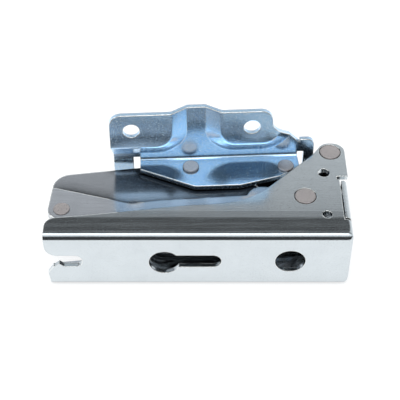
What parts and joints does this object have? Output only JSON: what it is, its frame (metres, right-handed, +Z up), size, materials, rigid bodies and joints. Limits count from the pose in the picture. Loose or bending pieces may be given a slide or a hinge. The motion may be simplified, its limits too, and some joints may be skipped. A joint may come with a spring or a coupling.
{
  "type": "fridge door hinge",
  "caption": "Concealed multi-link hinge for a built-in fridge door: folded steel housing, stamped door bracket and flat levers that swing the door round a point outside the hinge.",
  "frame": {"origin": "centre of the web's round fixing hole, on the web's outer face", "axes": "+X along the housing towards its eared swing end, +Y from the web into the hinge and towards the door, +Z up"},
  "size_m": [0.1211, 0.0538, 0.053],
  "materials": {
    "housing_steel": "bright zinc-plated sheet steel",
    "bracket_steel": "blue-passivated zinc-plated sheet steel",
    "lever_steel": "zinc-plated rolled steel",
    "rivet_steel": "plain steel rivet heads",
    "sleeve_steel": "turned steel",
    "washer_polymer": "dark bearing washer"
  },
  "bodies": {
    "housing": {"housing": "housing_steel", "front_pivot_rivet": "rivet_steel", "rear_pivot_rivet": "rivet_steel", "front_pivot_sleeve": "sleeve_steel", "rear_pivot_sleeve": "sleeve_steel", "rear_spacer_upper": "sleeve_steel", "rear_spacer_lower": "sleeve_steel"},
    "main_lever": {"main_lever_upper": "lever_steel", "main_lever_lower": "lever_steel", "far_pivot_rivet": "rivet_steel", "far_washer": "washer_polymer", "cross_pivot_rivet": "rivet_steel", "cross_pivot_sleeve": "sleeve_steel", "cross_spacer_upper": "sleeve_steel", "cross_spacer_lower": "sleeve_steel"},
    "bracket_link": {"bracket_link": "lever_steel"},
    "cross_lever": {"cross_lever_upper": "lever_steel", "cross_lever_lower": "lever_steel", "inner_pivot_rivet": "rivet_steel", "inner_pivot_sleeve": "sleeve_steel", "inner_washer_upper": "washer_polymer", "inner_washer_lower": "washer_polymer"},
    "housing_link": {"housing_link_upper": "lever_steel", "housing_link_lower": "lever_steel"},
    "door_bracket": {"door_bracket": "bracket_steel", "link_rivet": "rivet_steel", "arm_rivet_upper": "rivet_steel", "arm_rivet_lower": "rivet_steel", "link_washer": "washer_polymer", "arm_spacer_upper": "sleeve_steel", "arm_spacer_lower": "sleeve_steel"}
  },
  "joints": [
    {"name": "main_swing", "type": "hinge", "parent": "housing", "child": "main_lever", "pos_m": [0.0065, 0.0224, 0], "axis": [0, 0, -1], "range_deg": [0, 100]},
    {"name": "housing_link_swing", "type": "hinge", "parent": "housing", "child": "housing_link", "pos_m": [0.0185, 0.0484, 0], "axis": [0, 0, -1], "range_deg": [0, 100]},
    {"name": "cross_turn", "type": "hinge", "parent": "main_lever", "child": "cross_lever", "pos_m": [-0.0515, 0.0179, 0], "axis": [0, 0, 1], "range_deg": [0, 100]},
    {"name": "link_turn", "type": "hinge", "parent": "main_lever", "child": "bracket_link", "pos_m": [-0.0907, 0.0174, 0], "axis": [0, 0, 1], "range_deg": [0, 100]},
    {"name": "bracket_turn", "type": "hinge", "parent": "cross_lever", "child": "door_bracket", "pos_m": [-0.0002, 0.042, 0], "axis": [0, 0, -1], "range_deg": [0, 100]}
  ],
  "couplings": [
    {"joint": "housing_link_swing", "follows": "main_swing", "ratio": 1},
    {"joint": "cross_turn", "follows": "main_swing", "ratio": 1},
    {"joint": "link_turn", "follows": "main_swing", "ratio": 1},
    {"joint": "bracket_turn", "follows": "main_swing", "ratio": 1}
  ]
}
